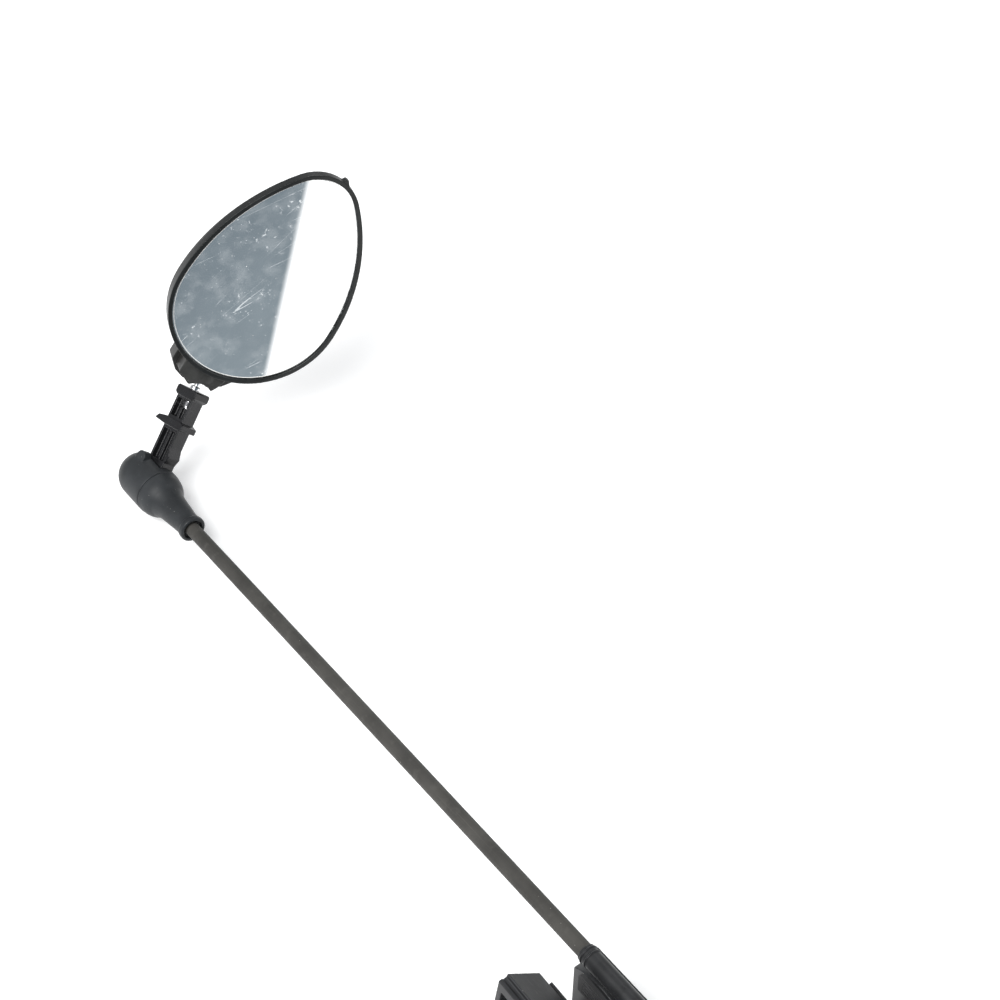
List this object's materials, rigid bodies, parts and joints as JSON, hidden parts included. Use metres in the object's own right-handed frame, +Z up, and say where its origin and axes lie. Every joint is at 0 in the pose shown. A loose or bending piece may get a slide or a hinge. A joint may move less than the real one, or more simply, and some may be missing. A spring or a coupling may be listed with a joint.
{
  "type": "helmet clip mirror",
  "caption": "Cyclist's helmet mirror: screw clip, long rubber-covered arm, swivelling elbow, folding link and a ball-jointed egg-shaped mirror head.",
  "frame": {"origin": "centre of the fixed jaw's gripping face, where the helmet's rim rests", "axes": "+X from the outer jaw to the fixed jaw, +Y forward along the arm, +Z up, out of the clip's mouth"},
  "size_m": [0.1093, 0.2446, 0.0924],
  "materials": {
    "black_nylon": "moulded black nylon, fine spark texture",
    "black_rubber": "soft black rubber, matt",
    "rod_rubber": "extruded dark warm-grey rubber, matt",
    "elbow_soft": "soft-touch dark grey moulding",
    "link_acetal": "satin black acetal",
    "shell_abs": "satin dark grey ABS",
    "bezel_abs": "satin black ABS",
    "bright_steel": "bright zinc-plated steel",
    "spring_steel": "spring steel",
    "nut_brass": "turned brass",
    "race_acetal": "black acetal",
    "clear_acrylic": "clear moulded acrylic, lightly scratched",
    "silver_film": "vacuum-silvered film",
    "foam_white": "closed-cell adhesive foam"
  },
  "bodies": {
    "clip": {"clip_frame": "black_nylon", "inner_pad": "black_rubber", "jaw_nut": "nut_brass", "pivot_washer": "spring_steel", "pivot_ring": "spring_steel"},
    "jaw": {"outer_jaw": "black_nylon", "outer_pad": "black_rubber"},
    "screw": {"clamp_screw": "bright_steel", "screw_knob": "black_nylon", "screw_clip": "spring_steel"},
    "arm": {"arm_socket": "black_nylon", "rod_core": "bright_steel", "rod_sleeve": "rod_rubber", "elbow_cone": "elbow_soft", "swivel_washer": "spring_steel"},
    "elbow": {"elbow_cap": "elbow_soft", "fold_pin": "bright_steel", "swivel_screw": "bright_steel"},
    "link": {"link_frame": "link_acetal"},
    "stud": {"ball_stud": "bright_steel", "stud_nut": "spring_steel"},
    "race": {"ball_race": "race_acetal"},
    "head": {"mirror_lens": "clear_acrylic", "mirror_film": "silver_film", "foam_pad": "foam_white", "mirror_bezel": "bezel_abs", "mirror_shell": "shell_abs", "socket_cap": "shell_abs", "socket_screws": "bright_steel"}
  },
  "joints": [
    {"name": "arm_pivot", "type": "hinge", "parent": "clip", "child": "arm", "pos_m": [0, 0, -0.0093], "axis": [1, 0, 0], "range_deg": [-60, 110]},
    {"name": "jaw_slide", "type": "slide", "parent": "clip", "child": "jaw", "axis": [1, 0, 0], "range_m": [-0.004, 0.0035]},
    {"name": "knob_turn", "type": "hinge", "parent": "jaw", "child": "screw", "pos_m": [-0.02, 0, -0.0093], "axis": [1, 0, 0], "range_deg": [-2060, 1805]},
    {"name": "elbow_swivel", "type": "hinge", "parent": "arm", "child": "elbow", "pos_m": [0.003, 0.20754, -0.00869], "axis": [0, 0.9962, -0.0872], "continuous": true},
    {"name": "link_fold", "type": "hinge", "parent": "elbow", "child": "link", "pos_m": [0.003, 0.21193, -0.00907], "axis": [0.6691, -0.0648, -0.7403], "range_deg": [-74, 0]},
    {"name": "stud_spin", "type": "hinge", "parent": "link", "child": "stud", "pos_m": [0.03026, 0.22183, 0.0147], "axis": [0.7269, 0.2642, 0.6339], "continuous": true},
    {"name": "head_nod", "type": "hinge", "parent": "stud", "child": "race", "pos_m": [0.03026, 0.22183, 0.0147], "axis": [0.6691, -0.0648, -0.7403], "range_deg": [-14, 14]},
    {"name": "head_turn", "type": "hinge", "parent": "race", "child": "head", "pos_m": [0.03026, 0.22183, 0.0147], "axis": [-0.1545, 0.9623, -0.2238], "range_deg": [-14, 14]}
  ],
  "couplings": [
    {"joint": "knob_turn", "follows": "jaw_slide", "rad_per_m": 8976}
  ]
}
